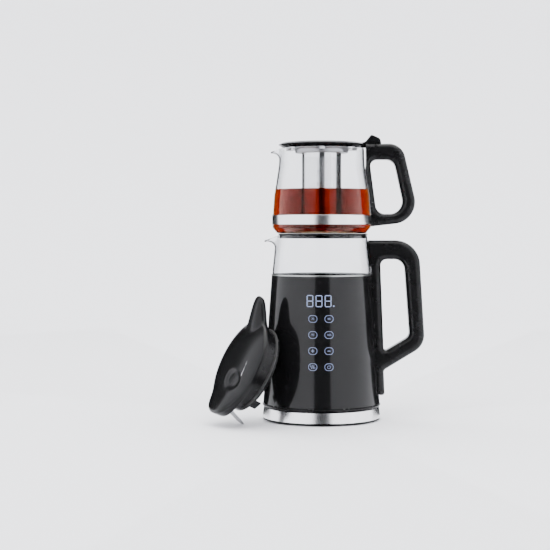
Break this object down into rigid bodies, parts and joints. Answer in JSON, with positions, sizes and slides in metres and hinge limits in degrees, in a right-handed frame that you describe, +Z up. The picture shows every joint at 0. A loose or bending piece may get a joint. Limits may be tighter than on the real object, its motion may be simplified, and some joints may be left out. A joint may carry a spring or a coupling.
{
  "type": "automatic tea maker",
  "caption": "Cordless glass kettle with a touch panel on a round steel-banded base, with a glass teapot and steel infuser standing on its mouth and its own lid beside it.",
  "frame": {"origin": "middle of the power base, on the surface that its feet stand on", "axes": "+Z up, +X towards the two handles, -X towards the two spouts, -Y towards the touch panel"},
  "size_m": [0.2727, 0.1891, 0.3611],
  "materials": {
    "black_plastic": "satin moulded plastic",
    "dark_housing": "dark grey enamel",
    "steel": "brushed along its turn",
    "bright_steel": "polished",
    "mesh_steel": "fine matt",
    "kettle_glass": "clear borosilicate",
    "teapot_glass": "clear borosilicate",
    "panel_glass": "gloss black panel",
    "display": "dark navy display",
    "rubber": "matt",
    "seal": "translucent silicone",
    "aluminium": "pressed",
    "brass": "stamped contacts",
    "board": "circuit board"
  },
  "bodies": {
    "base": {"base_bottom_cover": "black_plastic", "base_top_cover": "black_plastic", "base_steel_band": "steel", "cord_outlet": "black_plastic", "base_feet": "rubber", "base_screws": "steel", "base_socket": "black_plastic", "base_contacts": "brass"},
    "kettle_coupler": {"kettle_coupler": "black_plastic", "coupler_contacts": "brass"},
    "kettle": {"kettle_bottom_ring": "black_plastic", "kettle_housing": "dark_housing", "touch_panel": "panel_glass", "touch_electrodes": "brass", "display_module": "display", "housing_top_trim": "bright_steel", "heating_plate": "steel", "plate_support": "steel", "heat_spreader": "aluminium", "heating_element": "steel", "glass_seal": "seal", "temperature_sensor": "bright_steel", "control_board": "board", "kettle_glass": "kettle_glass", "mouth_ring": "black_plastic", "kettle_handle": "black_plastic", "handle_pad": "black_plastic", "handle_screws": "steel"},
    "teapot": {"teapot_glass": "teapot_glass", "teapot_band": "steel", "teapot_handle": "black_plastic", "lid_hinge_pin": "steel", "band_screw": "steel", "infuser_tube": "mesh_steel", "infuser_floor": "mesh_steel", "infuser_collar": "bright_steel"},
    "teapot_lid": {"teapot_lid": "black_plastic", "teapot_lid_inner": "steel"},
    "kettle_lid": {"kettle_lid": "black_plastic", "kettle_lid_plug": "black_plastic", "kettle_lid_seal": "seal", "spout_strainer": "mesh_steel", "lid_clips": "black_plastic"}
  },
  "joints": [
    {"name": "kettle_lift", "type": "slide", "parent": "base", "child": "kettle_coupler", "axis": [0, 0, 1], "range_m": [0, 0.04]},
    {"name": "kettle_swivel", "type": "hinge", "parent": "kettle_coupler", "child": "kettle", "pos_m": [0, 0, 0.02], "axis": [0, 0, 1], "range_deg": [-100, 150]},
    {"name": "teapot_lift", "type": "slide", "parent": "kettle", "child": "teapot", "axis": [0, 0, 1], "range_m": [0, 0.12]},
    {"name": "teapot_lid_hinge", "type": "hinge", "parent": "teapot", "child": "teapot_lid", "pos_m": [0.068, 0, 0.346], "axis": [0, 1, 0], "range_deg": [0, 70]},
    {"name": "kettle_lid_lift", "type": "slide", "parent": "base", "child": "kettle_lid", "axis": [0, 0, 1], "range_m": [0, 0.1]}
  ]
}
